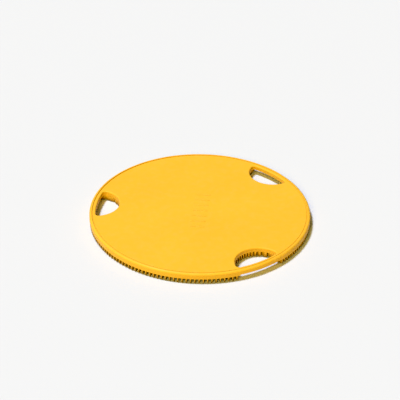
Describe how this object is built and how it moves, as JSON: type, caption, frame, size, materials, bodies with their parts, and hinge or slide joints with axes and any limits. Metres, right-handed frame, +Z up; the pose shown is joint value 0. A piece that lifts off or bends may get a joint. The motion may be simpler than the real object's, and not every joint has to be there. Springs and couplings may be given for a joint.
{
  "type": "spinner platter",
  "caption": "Low round sit-on spinner: a ribbed plastic platter with hand holes that turns on a ball race above a small base on rubber feet.",
  "frame": {"origin": "on the floor under the pivot: the centre of the object's footprint", "axes": "+Z up along the pivot that the platter turns about; -X points at the first hand hole, and the other two stand 51 degrees either side of +X"},
  "size_m": [0.4999, 0.5, 0.026],
  "materials": {
    "yellow_plastic": "satin moulded polypropylene",
    "base_plastic": "satin dark grey moulded polypropylene",
    "foot_rubber": "matt black rubber",
    "race_steel": "zinc-plated, rolled groove",
    "ball_steel": "polished",
    "screw_steel": "zinc-plated",
    "bolt_steel": "zinc-plated, turned shoulder",
    "insert_brass": "machined",
    "bush_plastic": "natural acetal",
    "cage_plastic": "natural acetal"
  },
  "bodies": {
    "base": {"base_plate": "base_plastic", "lower_race": "race_steel", "lower_race_screws": "screw_steel", "pivot_bush": "bush_plastic", "thrust_washer": "bush_plastic", "hub_cap": "base_plastic", "foot_1": "foot_rubber", "foot_2": "foot_rubber", "foot_3": "foot_rubber", "foot_4": "foot_rubber", "foot_5": "foot_rubber", "foot_6": "foot_rubber", "foot_7": "foot_rubber", "foot_8": "foot_rubber"},
    "platter_body": {"platter": "yellow_plastic", "upper_race": "race_steel", "upper_race_screws": "screw_steel", "threaded_insert": "insert_brass", "pivot_bolt": "bolt_steel", "retaining_washer": "bolt_steel"},
    "cage": {"ball_cage": "cage_plastic", "bearing_balls": "ball_steel"}
  },
  "joints": [
    {"name": "platter_spin", "type": "hinge", "parent": "base", "child": "platter_body", "pos_m": [0, 0, 0.0125], "axis": [0, 0, 1], "continuous": true},
    {"name": "cage_spin", "type": "hinge", "parent": "base", "child": "cage", "pos_m": [0, 0, 0.0125], "axis": [0, 0, 1], "continuous": true}
  ],
  "couplings": [
    {"joint": "cage_spin", "follows": "platter_spin", "ratio": 0.5}
  ]
}
